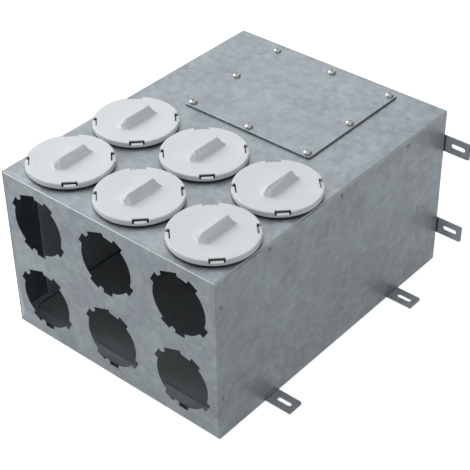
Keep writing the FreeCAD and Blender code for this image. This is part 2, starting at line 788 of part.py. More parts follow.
def turned_piece(name, corners):
    """Revolve an outline of radius and height pairs about the upright axis."""
    body = new_body(name)
    section = sketch_on(body, "Section", "XZ_Plane")
    polygon(section, corners)
    revolve(body, section, "Turned", "V_Axis")
    return body


def group(name, items):
    """Gather identical fasteners into one sub-part of separate solids."""
    bundle = doc.addObject("Part::Compound", name)
    bundle.Links = items
    return node(bundle, name)


def access_screws():
    """Make the eight dome-head screws of the access plate."""
    screws = []
    head_level = f"{TOP} + gasketThick + plateThick"
    for index, (x, y) in enumerate(screw_spots(), start=1):
        screw = turned_piece(f"AccessScrew{index}", [
            ("0", "-screwLength"), ("screwRadius - screwTip", "-screwLength"),
            ("screwRadius", "-screwLength + screwTip"), ("screwRadius", "0"),
            ("screwHeadRadius", "0"), ("screwHeadRadius", "screwHeadHeight * 0.35"),
            ("screwHeadRadius * 0.86", "screwHeadHeight * 0.68"),
            ("screwHeadRadius * 0.55", "screwHeadHeight * 0.92"), ("0", "screwHeadHeight")])
        cross = sketch_on(screw, "Recess", "XY_Plane", away="screwHeadHeight")
        polygon(cross, recess_corners())
        pocket(screw, cross, "RecessCut", "recessDepth")
        place(screw, x, y, head_level)
        screws.append(screw)
    return group("access_screws", screws)


def recess_corners():
    """List the corners of a cross recess, a quarter at a time."""
    reach = "recessLength / 2"
    thin = "recessWidth / 2"
    quarter = [(reach, f"-{thin}"), (reach, thin), (thin, thin)]
    corners = []
    for turn in range(4):
        for x, y in quarter:
            for step in range(turn):
                x, y = f"-({y})", x
            corners.append((x, y))
    return corners


def access_nuts():
    """Make the clinch nuts that hold the plate's screws."""
    nuts = []
    for index, (x, y) in enumerate(screw_spots(), start=1):
        nut = turned_piece(f"ClinchNut{index}", [
            ("screwRadius + threadGap", "-nutHeight"), ("nutRadius", "-nutHeight"),
            ("nutRadius", "0"), ("screwRadius + threadGap", "0")])
        place(nut, x, y, f"{TOP} - sheetThick")
        nuts.append(nut)
    return group("access_nuts", nuts)


# Blind rivets, modelled with the head's seat at the origin and the shank downwards
def rivet(name, grip):
    """Make a set blind rivet with its domed head and its bulb."""
    return turned_piece(name, [
        ("0", f"-({grip}) - rivetBulbHeight"),
        ("rivetRadius", f"-({grip}) - rivetBulbHeight"),
        ("rivetBulbRadius", f"-({grip}) - rivetBulbHeight * 0.6"),
        ("rivetBulbRadius", f"-({grip})"), ("rivetRadius", f"-({grip})"),
        ("rivetRadius", "0"), ("rivetHeadRadius", "0"),
        ("rivetHeadRadius", "rivetHeadHeight * 0.25"),
        ("rivetHeadRadius * 0.7", "rivetHeadHeight * 0.8"), ("0", "rivetHeadHeight")])


def side_rivets(name, side):
    """Set the rivets of one side wall; side is 1 for right and -1 for left."""
    rivets = []
    for index, (y, z) in enumerate(SIDE_TOP_SPOTS + SIDE_FRONT_SPOTS, start=1):
        item = rivet(f"{name}_{index}", "2 * sheetThick")
        place(item, f"{side} * ({HALF})", y, z, FreeCAD.Rotation(Y_WAY, 90 * side))
        rivets.append(item)
    return group(name, rivets)


def rear_rivets(name, spots, level, grip):
    """Set rivets in the rear wall with their heads at a given level."""
    rivets = []
    for index, (x, z) in enumerate(spots, start=1):
        item = rivet(f"{name}_{index}", grip)
        place(item, x, level, z, FreeCAD.Rotation(X_WAY, -90))
        rivets.append(item)
    return group(name, rivets)


# Round spigot on the rear wall
def spigot_axis(body):
    """Place a turned piece on the spigot's axis, its top pointing rearwards."""
    place(body, "0", REAR, f"{BASE} + spigotHeight", FreeCAD.Rotation(X_WAY, -90))


def main_spigot():
    """Make the drawn collar with its flange that the main duct slides over."""
    inner = "spigotRadius - spigotThick"
    body = turned_piece("main_spigot", [
        (inner, "0"), ("spigotFlangeRadius", "0"), ("spigotFlangeRadius", "spigotThick"),
        ("spigotRadius", "spigotThick"), ("spigotRadius", "spigotLength"), (inner, "spigotLength")])
    outer_fold = round_level(body, "spigotThick", "spigotRadius")
    round_edges(body, "OuterFold", outer_fold, "spigotFold")
    inner_fold = round_level(body, "0", inner)
    round_edges(body, "InnerFold", inner_fold, "spigotFold + spigotThick")
    holes = sketch_on(body, "RivetHoles", "XY_Plane", away="2 * spigotThick")
    for step in range(SPIGOT_RIVET_COUNT):
        angle = 360 / SPIGOT_RIVET_COUNT * step + 30
        circle(holes, "rivetRadius", f"spigotRivetRadius * cos({angle})", f"spigotRivetRadius * sin({angle})")
    pocket(body, holes, "RivetHolesCut", "4 * spigotThick")
    spigot_axis(body)
    return node(body, "main_spigot")


def round_level(body, level, radius):
    """Name the round edge of a turned piece at a level and of a radius."""
    reach = number(radius)
    edges = level_edges(body.Shape, number(level))
    return [name for name in edges if close(body.Shape.getElement(name).BoundBox.XMax, reach)]


# Mounting straps: flat slotted strips welded under the base and on the rear wall
def strap_plan(body, role, side, away, up, large_corner):
    """Pad one slotted strap in its own plane; large_corner is 1 or -1 in height."""
    plan = sketch_on(body, "Plan", role, away=away, up=up)
    near = f"{side} * ({HALF} - strapHold)"
    far = f"{side} * ({HALF} + strapReach)"
    left, right = (near, far) if side > 0 else (far, near)
    rectangle(plan, left, right, "-strapWidth / 2", "strapWidth / 2")
    blank = pad(body, plan, "Strip", "strapThick")
    along = Z_WAY if role == "XY_Plane" else Y_WAY
    tip = number(far)
    middle = number(up)

    def height(spot):
        """Give an edge's height over the strap's middle line."""
        return (spot.y if role == "XY_Plane" else spot.z) - middle
    large = straight_edges(blank.Shape, along, lambda spot: close(spot.x, tip)
                           and height(spot) * large_corner > 0)
    round_edges(body, "LargeCorner", large, "strapCornerRadius")
    small = straight_edges(body.Shape, along, lambda spot: close(spot.x, tip)
                           and height(spot) * large_corner < 0)
    round_edges(body, "SmallCorner", small, "strapSmallRadius")
    slot = sketch_on(body, "Slot", role, away=f"{away} + 2 * strapThick", up=up)
    slot_outline(slot, f"{side} * ({HALF} + strapSlotCentre)")
    pocket(body, slot, "SlotCut", "4 * strapThick")


def slot_outline(sketch, centre):
    """Draw a round-ended slot that runs along the strap."""
    radius = number("strapSlotWidth") / 2
    reach = number("strapSlotLength") / 2 - radius
    middle = number(centre)
    up = FreeCAD.Vector(0, radius, 0)
    ends = [FreeCAD.Vector(middle - reach, 0, 0), FreeCAD.Vector(middle + reach, 0, 0)]
    quarter = math.pi / 2
    rounds = [Part.Circle(centre_point, Z_WAY, radius) for centre_point in ends]
    left = sketch.addGeometry(Part.ArcOfCircle(rounds[0], quarter, 3 * quarter))
    low = sketch.addGeometry(Part.LineSegment(ends[0] - up, ends[1] - up))
    right = sketch.addGeometry(Part.ArcOfCircle(rounds[1], -quarter, quarter))
    high = sketch.addGeometry(Part.LineSegment(ends[1] + up, ends[0] + up))
    for first, second in ((left, low), (low, right), (right, high), (high, left)):
        sketch.addConstraint(Sketcher.Constraint("Tangent", first, 2, second, 1))
    sketch.addConstraint(Sketcher.Constraint("Horizontal", low))
    hold(sketch, "Radius", left, value="strapSlotWidth / 2")
    hold(sketch, "DistanceX", -1, 1, left, 3, value=f"{centre} - strapSlotLength / 2 + strapSlotWidth / 2")
    hold(sketch, "DistanceX", -1, 1, right, 3, value=f"{centre} + strapSlotLength / 2 - strapSlotWidth / 2")
    hold(sketch, "DistanceY", -1, 1, left, 3, value="0")


def straps():
    """Make the four base straps and the four rear straps."""
    for side, side_name in ((-1, "left"), (1, "right")):
        for end, spot in (("front", f"{FRONT} + baseStrapFront"), ("rear", f"{REAR} - baseStrapFromRear")):
            body = new_body(f"base_strap_{end}_{side_name}")
            strap_plan(body, "XY_Plane", side, "0", spot, 1)
            node(body, body.Label)
        for end, spot in (("low", f"{BASE} + rearStrapLow"), ("high", f"{TOP} - rearStrapFromTop")):
            body = new_body(f"rear_strap_{end}_{side_name}")
            strap_plan(body, "XZ_Plane", side, f"-({REAR}) - strapThick", spot, -1)
            node(body, body.Label)


# Sound-absorbing lining, glued to the inside of the base, side and rear sheets
def slab(name, left, right, front, rear, low, high):
    """Make a plain rectangular sheet of lining."""
    body = new_body(name)
    plan = sketch_on(body, "Plan", "XY_Plane", away=low)
    rectangle(plan, left, right, front, rear)
    pad(body, plan, "Slab", f"{high} - ({low})")
    return node(body, name)


def linings():
    """Make the lining of the base, the two sides and the rear wall."""
    back = f"{REAR} - sheetThick"
    low = f"{BASE} + sheetThick + liningEdge"
    high = f"{TOP} - sheetThick - liningEdge"
    side_out = INNER_HALF
    side_in = f"{INNER_HALF} - liningThick"
    side_front = f"{FRONT} + sideLiningStart"
    side_rear = f"{back} - cornerRadius"
    slab("left_lining", f"-({side_out})", f"-({side_in})", side_front, side_rear, low, high)
    slab("right_lining", side_in, side_out, side_front, side_rear, low, high)
    edge = f"{INNER_HALF} - foldRadius - liningGap"
    floor = f"{BASE} + sheetThick"
    slab("base_lining", f"-({edge})", edge, f"{FRONT} + baseLiningStart",
         f"{back} - sheetThick - foldRadius", floor, f"{floor} + liningThick")
    rear_edge = f"{side_in} - liningGap"
    rear = slab("rear_lining", f"-({rear_edge})", rear_edge, f"{back} - liningThick", back, low, high)
    mouth = sketch_on(rear, "Mouth", "XZ_Plane", away=f"-({back}) - cutOver")
    circle(mouth, "liningHoleRadius", "0", f"{BASE} + spigotHeight")
    pocket(rear, mouth, "MouthCut", "2 * liningThick", True)


front_panel()
top_panel()
node(pan("base_panel", BASE, f"{BASE} + sheetThick + flangeDepth", False), "base_panel")
side_wrap()
for spot_name, centre_x, centre_y in cap_spots():
    blanking_cap(f"cap_{spot_name}", centre_x, centre_y)
    cap_seal(f"seal_{spot_name}", centre_x, centre_y)
access_plate()
access_gasket()
access_screws()
access_nuts()
side_rivets("left_rivets", -1)
side_rivets("right_rivets", 1)
rear_rivets("rear_rivets", REAR_SPOTS, REAR, "2 * sheetThick")
main_spigot()
rear_rivets("spigot_rivets", SPIGOT_SPOTS, f"{REAR} + spigotThick", "sheetThick + spigotThick")
straps()
linings()

doc.recompute()
os.makedirs("parts", exist_ok=True)
for item in doc.Objects:
    if "Invalid" in item.State or "Error" in item.State:
        raise RuntimeError(f"{item.Name} failed: {item.State}")
for item in NODES:
    shape = item.Shape
    if shape.isNull() or not shape.isValid():
        raise RuntimeError(f"{item.Label} has no valid shape")
    shape.exportStep(f"parts/{item.Label}.step")
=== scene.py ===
"""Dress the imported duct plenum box: galvanised sheets, moulded caps, seals, fasteners and lining."""

import json
import logging
import math
from dataclasses import dataclass, field
from enum import Enum
from typing import Any

import bmesh
import bpy
from mathutils import Euler, Matrix, Vector

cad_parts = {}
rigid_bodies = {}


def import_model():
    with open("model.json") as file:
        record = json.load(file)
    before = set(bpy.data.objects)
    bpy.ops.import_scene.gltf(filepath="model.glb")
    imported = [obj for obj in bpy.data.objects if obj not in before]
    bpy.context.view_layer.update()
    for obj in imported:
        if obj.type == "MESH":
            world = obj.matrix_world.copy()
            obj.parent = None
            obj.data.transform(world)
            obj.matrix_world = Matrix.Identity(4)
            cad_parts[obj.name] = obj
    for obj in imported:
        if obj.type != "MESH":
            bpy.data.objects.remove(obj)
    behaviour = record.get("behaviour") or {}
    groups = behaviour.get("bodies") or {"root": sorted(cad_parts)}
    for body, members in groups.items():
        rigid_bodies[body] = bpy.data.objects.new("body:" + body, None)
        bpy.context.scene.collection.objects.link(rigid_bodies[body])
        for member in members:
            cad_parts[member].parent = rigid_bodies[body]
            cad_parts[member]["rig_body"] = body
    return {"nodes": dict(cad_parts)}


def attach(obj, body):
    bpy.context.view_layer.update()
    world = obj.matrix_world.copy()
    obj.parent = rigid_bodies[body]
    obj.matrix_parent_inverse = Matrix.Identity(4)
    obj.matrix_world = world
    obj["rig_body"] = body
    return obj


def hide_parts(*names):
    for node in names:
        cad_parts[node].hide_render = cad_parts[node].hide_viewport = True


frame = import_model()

LOG = logging.getLogger("plenum")
MM = 0.001
# Points nearer than this are one point
WELD = 0.002 * MM
# Faces that turn less than this are one flat face
FLAT_TURN = math.radians(0.6)
# Edges that turn more than this stay sharp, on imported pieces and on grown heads
SHARP_TURN = math.radians(28)
HEAD_SHARP_TURN = math.radians(30)
# Sides of a round post, and rings of a dome
ROUND_SIDES = 24
DOME_RINGS = 16
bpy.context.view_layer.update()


class Slot(Enum):
    """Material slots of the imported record."""

    GALVANISED = "galvanised_steel"
    PLATE = "plate_steel"
    STRAP = "strap_steel"
    FASTENER = "zinc_fastener"
    RIVET = "rivet_alloy"
    CAP = "cap_plastic"
    RUBBER = "seal_rubber"
    GASKET = "gasket_foam"
    LINING = "lining_foam"


def linear(colour: str) -> tuple[float, float, float, float]:
    """Turn an sRGB hex colour into linear light.

    Args:
        colour: six hex digits after a hash sign.

    Returns:
        Red, green, blue and alpha in linear light.
    """
    channels = [int(colour[place:place + 2], 16) / 255 for place in (1, 3, 5)]
    light = [value / 12.92 if value <= 0.04045 else ((value + 0.055) / 1.055) ** 2.4 for value in channels]
    return (light[0], light[1], light[2], 1.0)


def add_node(tree: bpy.types.NodeTree, kind: str, settings: dict[str, Any] | None = None,
             inputs: dict[Any, Any] | None = None) -> bpy.types.Node:
    """Add a node with its settings and its links.

    Args:
        tree: the tree that gets the node.
        kind: the node's type name.
        settings: properties to set on the node itself.
        inputs: sockets by name or number, each with a value or an output socket to link.

    Returns:
        The new node.
    """
    node = tree.nodes.new(kind)
    for name, value in (settings or {}).items():
        setattr(node, name, value)
    for name, value in (inputs or {}).items():
        if isinstance(value, bpy.types.NodeSocket):
            tree.links.new(value, node.inputs[name])
        else:
            node.inputs[name].default_value = value
    return node


def start_material(name: str) -> tuple[bpy.types.Material, bpy.types.NodeTree, bpy.types.NodeSocket]:
    """Start a node material that reads Object coordinates.

    Args:
        name: the material's name.

    Returns:
        The material, its emptied tree and the Object coordinate output, in metres.
    """
    material = bpy.data.materials.new(name)
    material.use_nodes = True
    tree = material.node_tree
    tree.nodes.clear()
    place = add_node(tree, "ShaderNodeTexCoord").outputs["Object"]
    return material, tree, place


def finish_material(tree: bpy.types.NodeTree, inputs: dict[str, Any]) -> None:
    """Close a material with a Principled shader and its output.

    Args:
        tree: the material's tree.
        inputs: the shader's sockets with their values or links.
    """
    shader = add_node(tree, "ShaderNodeBsdfPrincipled", inputs=inputs)
    add_node(tree, "ShaderNodeOutputMaterial", inputs={"Surface": shader.outputs["BSDF"]})


def blend_colours(tree: bpy.types.NodeTree, factor: bpy.types.NodeSocket, low: str,
                  high: str) -> bpy.types.NodeSocket:
    """Mix two hex colours by a factor.

    Args:
        tree: the material's tree.
        factor: the mixing factor's output.
        low: the colour at zero.
        high: the colour at one.

    Returns:
        The mixed colour's output.
    """
    mix = add_node(tree, "ShaderNodeMix", {"data_type": "RGBA"}, {0: factor, 6: linear(low), 7: linear(high)})
    return mix.outputs[2]


def stretch(tree: bpy.types.NodeTree, value: bpy.types.NodeSocket, source: tuple[float, float],
            target: tuple[float, float]) -> bpy.types.NodeSocket:
    """Map a value from one range to another.

    Args:
        tree: the material's tree.
        value: the output to map.
        source: the lowest and highest value that come in.
        target: the values they turn into.

    Returns:
        The mapped output.
    """
    node = add_node(tree, "ShaderNodeMapRange", {"clamp": True},
                    {"Value": value, "From Min": source[0], "From Max": source[1],
                     "To Min": target[0], "To Max": target[1]})
    return node.outputs["Result"]


def blend_numbers(tree: bpy.types.NodeTree, factor: float | bpy.types.NodeSocket,
                  low: float | bpy.types.NodeSocket,
                  high: float | bpy.types.NodeSocket) -> bpy.types.NodeSocket:
    """Mix two numbers by a factor.

    Args:
        tree: the material's tree.
        factor: the mixing factor.
        low: the number at zero.
        high: the number at one.

    Returns:
        The mixed number's output.
    """
    return add_node(tree, "ShaderNodeMix", {"data_type": "FLOAT"}, {0: factor, 2: low, 3: high}).outputs[0]


def raise_bump(tree: bpy.types.NodeTree, height: bpy.types.NodeSocket, depth: float,
               under: bpy.types.NodeSocket | None = None) -> bpy.types.NodeSocket:
    """Turn a height into a bumped normal.

    Args:
        tree: the material's tree.
        height: the height's output, from zero to one.
        depth: the real depth in metres.
        under: a normal that the bump adds to.

    Returns:
        The normal's output.
    """
    inputs: dict[str, Any] = {"Height": height, "Distance": depth, "Strength": 1.0}
    if under is not None:
        inputs["Normal"] = under
    return add_node(tree, "ShaderNodeBump", inputs=inputs).outputs["Normal"]


@dataclass(frozen=True)
class GalvanisedSteel:
    """Hot-dip galvanised sheet: zinc that froze into soft crystals, which show as a faint cloudy mottle.

    Sizes and depths are in millimetres, and scales count per metre.
    """

    name: str
    light: str
    dark: str
    spangle: float = 7.0
    feather_share: float = 1.6
    feather_reach: float = 2.4
    cloud_scale: float = 22.0
    roughness: float = 0.46
    smoother: float = 0.05
    rougher: float = 0.06
    fold_roughness: float = 0.3
    # The lighter colour of the folds over the top's edges is a painted highlight
    fold_highlight_colour: str = "#c4cbcf"
    # The reach, the darkest share and the samples of the painted shade in the seams
    seam_reach: float = 3.0
    seam_shade: float = 0.2
    seam_samples: int = 8
    wave_scale: float = 7.0
    wave_depth: float = 0.9
    grain_depth: float = 0.02

    def build(self) -> bpy.types.Material:
        """Build the material.

        Returns:
            The finished material.
        """
        material, tree, place = start_material(self.name)
        per_metre = 1000 / self.spangle
        # Noise bends the crystal borders, which are feathered and not straight
        feather = add_node(tree, "ShaderNodeTexNoise",
                           inputs={"Vector": place, "Scale": per_metre * self.feather_share, "Detail": 4.0,
                                   "Roughness": 0.7})
        bend = add_node(tree, "ShaderNodeVectorMath", {"operation": "MULTIPLY_ADD"},
                        {0: feather.outputs["Color"], 1: (self.spangle * MM * self.feather_reach,) * 3,
                         2: place})
        crystal = add_node(tree, "ShaderNodeTexVoronoi", {"feature": "SMOOTH_F1"},
                           {"Vector": bend.outputs[0], "Scale": per_metre, "Smoothness": 0.8})
        tone = add_node(tree, "ShaderNodeSeparateColor", inputs={"Color": crystal.outputs["Color"]})
        # Slow clouds come from the uneven wipe of the zinc bath
        cloud = add_node(tree, "ShaderNodeTexNoise",
                         inputs={"Vector": place, "Scale": self.cloud_scale, "Detail": 4.0,
                                 "Roughness": 0.55})
        cells = stretch(tree, tone.outputs["Red"], (0.15, 0.85), (0.0, 1.0))
        clouds = stretch(tree, cloud.outputs["Fac"], (0.3, 0.7), (0.0, 1.0))
        mottle = blend_numbers(tree, 0.5, cells, clouds)
        # Painted highlight: the zinc on the folds over the top's edges is drawn in a lighter colour
        folds = self.find_folds(tree)
        colour = add_node(tree, "ShaderNodeMix", {"data_type": "RGBA"},
                          {0: folds, 6: blend_colours(tree, mottle, self.dark, self.light),
                           7: linear(self.fold_highlight_colour)}).outputs[2]
        # Painted shade: the colour is darkened in the seams of upright sheet
        colour = self.paint_shade_into_seams(tree, colour)
        rough = stretch(tree, tone.outputs["Green"], (0.1, 0.9),
                        (self.roughness - self.smoother, self.roughness + self.rougher))
        rough = blend_numbers(tree, folds, rough, self.fold_roughness)
        # Thin sheet is never quite flat: slow waves, less than a millimetre deep
        wave = add_node(tree, "ShaderNodeTexNoise",
                        inputs={"Vector": place, "Scale": self.wave_scale, "Detail": 1.0})
        waved = raise_bump(tree, wave.outputs["Fac"], self.wave_depth * MM)
        grain = raise_bump(tree, tone.outputs["Blue"], self.grain_depth * MM, waved)
        finish_material(tree, {"Base Color": colour, "Metallic": 1.0, "Roughness": rough, "Normal": grain})
        return material

    def paint_shade_into_seams(self, tree: bpy.types.NodeTree, colour: bpy.types.NodeSocket) -> bpy.types.NodeSocket:
        """Paint shade into the zinc's colour in the seams of upright sheet: ambient occlusion darkens it
        where the sheets meet.

        Args:
            tree: the material's tree.
            colour: the zinc's colour.

        Returns:
            The shaded colour's output.
        """
        open_sky = add_node(tree, "ShaderNodeAmbientOcclusion", {"samples": self.seam_samples},
                            {"Distance": self.seam_reach * MM})
        shade = stretch(tree, open_sky.outputs["AO"], (0.35, 0.9), (self.seam_shade, 1.0))
        facing = add_node(tree, "ShaderNodeTexCoord").outputs["Normal"]
        upward = add_node(tree, "ShaderNodeSeparateXYZ", inputs={0: facing}).outputs[2]
        shade = blend_numbers(tree, stretch(tree, upward, (0.2, 0.6), (0.0, 1.0)), shade, 1.0)
        return add_node(tree, "ShaderNodeVectorMath", {"operation": "SCALE"},
                        {0: colour, "Scale": shade}).outputs[0]

    def find_folds(self, tree: bpy.types.NodeTree) -> bpy.types.NodeSocket:
        """Find where the sheet turns over the top's edges, which get a painted highlight in their colour and
        a lower roughness.

        Args:
            tree: the material's tree.

        Returns:
            An output that is one on the middle of such a fold and zero on flat sheet.
        """
        facing = add_node(tree, "ShaderNodeTexCoord").outputs["Normal"]
        facing = add_node(tree, "ShaderNodeVectorMath", {"operation": "ABSOLUTE"}, {0: facing}).outputs[0]
        axes = add_node(tree, "ShaderNodeSeparateXYZ", inputs={0: facing}).outputs
        most = add_node(tree, "ShaderNodeMath", {"operation": "MAXIMUM"}, {0: axes[0], 1: axes[1]}).outputs[0]
        most = add_node(tree, "ShaderNodeMath", {"operation": "MAXIMUM"}, {0: most, 1: axes[2]}).outputs[0]
        turned = stretch(tree, most, (0.98, 0.9), (0.0, 1.0))
        upward = stretch(tree, axes[2], (0.25, 0.5), (0.0, 1.0))
        return add_node(tree, "ShaderNodeMath", {"operation": "MULTIPLY"}, {0: turned, 1: upward}).outputs[0]


@dataclass(frozen=True)
class MouldedPolypropylene:
    """Injection-moulded polypropylene: satin skin, fine spark-eroded grain and sink marks over its ribs.

    Sizes and depths are in millimetres.
    """

    name: str
    colour: str
    shade: str
    roughness: float = 0.42
    ior: float = 1.49
    grain: float = 0.8
    grain_depth: float = 0.03
    sink_depth: float = 0.12
    pitch: float = 114.0
    first_row: float = -189.5
    skirt_radius: float = 38.6
    sink_width: float = 1.6

    def build(self) -> bpy.types.Material:
        """Build the material.

        Returns:
            The finished material.
        """
        material, tree, place = start_material(self.name)
        flow = add_node(tree, "ShaderNodeTexNoise", inputs={"Vector": place, "Scale": 30.0, "Detail": 3.0})
        colour = blend_colours(tree, stretch(tree, flow.outputs["Fac"], (0.3, 0.7), (0.0, 1.0)),
                               self.shade, self.colour)
        # A real mould's grain is about 0.4 mm: it is drawn coarser so that it shows
        grain = add_node(tree, "ShaderNodeTexNoise",
                         inputs={"Vector": place, "Scale": 1000 / self.grain, "Detail": 2.0})
        normal = raise_bump(tree, grain.outputs["Fac"], self.grain_depth * MM)
        sunk = raise_bump(tree, self.sink_marks(tree, place), self.sink_depth * MM, normal)
        finish_material(tree, {"Base Color": colour, "Roughness": self.roughness, "IOR": self.ior,
                               "Normal": sunk})
        return material

    def sink_marks(self, tree: bpy.types.NodeTree, place: bpy.types.NodeSocket) -> bpy.types.NodeSocket:
        """Draw the faint ring that the skirt under each cap pulls into its top skin.

        Args:
            tree: the material's tree.
            place: the Object coordinates.

        Returns:
            A height that dips to zero over the skirt.
        """
        # Both axes are wrapped at the caps' pitch, so that every cap gets the ring about its own middle
        apart = add_node(tree, "ShaderNodeSeparateXYZ", inputs={0: place})
        across = add_node(tree, "ShaderNodeMath", {"operation": "WRAP"},
                          {0: apart.outputs[0], 1: self.pitch * MM / 2, 2: -self.pitch * MM / 2})
        along = add_node(tree, "ShaderNodeMath", {"operation": "SUBTRACT"},
                         {0: apart.outputs[1], 1: self.first_row * MM})
        along = add_node(tree, "ShaderNodeMath", {"operation": "WRAP"},
                         {0: along.outputs[0], 1: self.pitch * MM / 2, 2: -self.pitch * MM / 2})
        flat = add_node(tree, "ShaderNodeCombineXYZ", inputs={0: across.outputs[0], 1: along.outputs[0]})
        radius = add_node(tree, "ShaderNodeVectorMath", {"operation": "LENGTH"}, {0: flat.outputs[0]})
        off = add_node(tree, "ShaderNodeMath", {"operation": "SUBTRACT"},
                       {0: radius.outputs["Value"], 1: self.skirt_radius * MM})
        off = add_node(tree, "ShaderNodeMath", {"operation": "ABSOLUTE"}, {0: off.outputs[0]})
        return stretch(tree, off.outputs[0], (0.0, self.sink_width * MM), (0.0, 1.0))


@dataclass(frozen=True)
class SoftSolid:
    """Rubber, foam or fleece: a dull body with pores or fibres of a given size and depth in millimetres."""

    name: str
    colour: str
    pore_colour: str
    pore: float
    depth: float
    roughness: float = 0.9
    ior: float = 1.5

    def build(self) -> bpy.types.Material:
        """Build the material.

        Returns:
            The finished material.
        """
        material, tree, place = start_material(self.name)
        pores = add_node(tree, "ShaderNodeTexVoronoi", {"feature": "F1"},
                         {"Vector": place, "Scale": 1000 / self.pore, "Randomness": 1.0})
        height = stretch(tree, pores.outputs["Distance"], (0.0, 0.6), (0.0, 1.0))
        colour = blend_colours(tree, height, self.pore_colour, self.colour)
        normal = raise_bump(tree, height, self.depth * MM)
        finish_material(tree, {"Base Color": colour, "Roughness": self.roughness, "IOR": self.ior,
                               "Normal": normal})
        return material


@dataclass(frozen=True)
class PlatedMetal:
    """Zinc-plated steel or bare aluminium fastener: bright small surface with a haze of 1.5 mm patches."""

    name: str
    light: str
    dark: str
    roughness: float
    haze: float = 1.5
    smoother: float = 0.05
    rougher: float = 0.08

    def build(self) -> bpy.types.Material:
        """Build the material.

        Returns:
            The finished material.
        """
        material, tree, place = start_material(self.name)
        haze = add_node(tree, "ShaderNodeTexNoise",
                        inputs={"Vector": place, "Scale": 1000 / self.haze, "Detail": 3.0})
        colour = blend_colours(tree, haze.outputs["Fac"], self.dark, self.light)
        rough = stretch(tree, haze.outputs["Fac"], (0.3, 0.7),
                        (self.roughness - self.smoother, self.roughness + self.rougher))
        finish_material(tree, {"Base Color": colour, "Metallic": 1.0, "Roughness": rough})
        return material


@dataclass
class Finishes:
    """All finishes of the box, built once and shared by its pieces."""

    made: dict[Slot, bpy.types.Material] = field(default_factory=dict)

    def build(self) -> None:
        """Build every finish."""
        recipes = {
            Slot.GALVANISED: GalvanisedSteel("galvanised_sheet", "#9ba4a8", "#848a90"),
            Slot.PLATE: GalvanisedSteel("galvanised_plate", "#9ba4a9", "#878e94", roughness=0.44),
            Slot.STRAP: GalvanisedSteel("galvanised_strap", "#c0c7c9", "#a9afb1",
                                        spangle=5.0, roughness=0.55),
            Slot.FASTENER: PlatedMetal("zinc_plated_screw", "#bfc1bc", "#9fa19b", 0.22),
            Slot.RIVET: PlatedMetal("aluminium_rivet", "#84898c", "#62676a", 0.26),
            Slot.CAP: MouldedPolypropylene("moulded_polypropylene", "#dfe2e4", "#d9dddf"),
            Slot.RUBBER: SoftSolid("epdm_rubber", "#1b1b1c", "#141415", 0.8, 0.02, 0.6),
            Slot.GASKET: SoftSolid("epdm_foam", "#8d9194", "#6a6e71", 1.0, 0.15),
            Slot.LINING: SoftSolid("polyester_fleece", "#989da0", "#7a7e80", 1.6, 0.5),
        }
        for slot, recipe in recipes.items():
            self.made[slot] = recipe.build()
            LOG.info("finish %s", recipe.name)

    def dress(self, piece: bpy.types.Object, slot: Slot) -> None:
        """Give a piece its finish and its record slot.

        Args:
            piece: the mesh object.
            slot: the record's slot.
        """
        piece.data.materials.clear()
        piece.data.materials.append(self.made[slot])


@dataclass(frozen=True)
class EdgeBreak:
    """How a piece's sharp edges are broken: real sheet and mouldings have no knife edges.

    The width is in millimetres, and only edges that turn more than the angle, in degrees, are broken.
    """

    width: float
    segments: int = 2
    angle: float = 32.0


# The grip's soft edges turn less than this, and the solid already rounds them
MOULDED_EDGE = EdgeBreak(0.35, angle=62.0)
PUNCHED_EDGE = EdgeBreak(0.2)
SOFT_EDGE = EdgeBreak(0.4)


class Dresser:
    """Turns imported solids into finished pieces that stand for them."""

    def __init__(self, finishes: Finishes) -> None:
        """Keep the finishes that the pieces are given."""
        self.finishes = finishes
        self.count = 0

    def piece(self, node_name: str, slot: Slot, edge: EdgeBreak | None) -> bpy.types.Object:
        """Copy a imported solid, join its triangles, break its edges and dress it.

        Args:
            node_name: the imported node.
            slot: the finish.
            edge: how sharp edges are broken, or None to keep them.

        Returns:
            The piece that replaces the node.
        """
        source = frame["nodes"][node_name]
        mesh = source.data.copy()
        mesh.name = f"{node_name}_skin"
        work = bmesh.new()
        work.from_mesh(mesh)
        bmesh.ops.remove_doubles(work, verts=work.verts, dist=WELD)
        bmesh.ops.dissolve_limit(work, angle_limit=FLAT_TURN, verts=work.verts, edges=work.edges)
        work.to_mesh(mesh)
        work.free()
        mesh.shade_smooth()
        mesh.set_sharp_from_angle(angle=SHARP_TURN)
        piece = bpy.data.objects.new(f"{node_name}_skin", mesh)
        bpy.context.scene.collection.objects.link(piece)
        if edge is not None:
            bevel = piece.modifiers.new("EdgeBreak", "BEVEL")
            bevel.width = edge.width * MM
            bevel.segments = edge.segments
            bevel.limit_method = "ANGLE"
            bevel.angle_limit = math.radians(edge.angle)
            bevel.use_clamp_overlap = True
            bevel.harden_normals = True
        self.finishes.dress(piece, slot)
        self.take_place(piece, node_name)
        return piece

    def take_place(self, piece: bpy.types.Object, node_name: str) -> None:
        """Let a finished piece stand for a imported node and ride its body.

        Args:
            piece: the finished piece.
            node_name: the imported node.
        """
        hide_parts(node_name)
        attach(piece, frame["nodes"][node_name]["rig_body"])
        self.count += 1
        LOG.info("piece %s", piece.name)


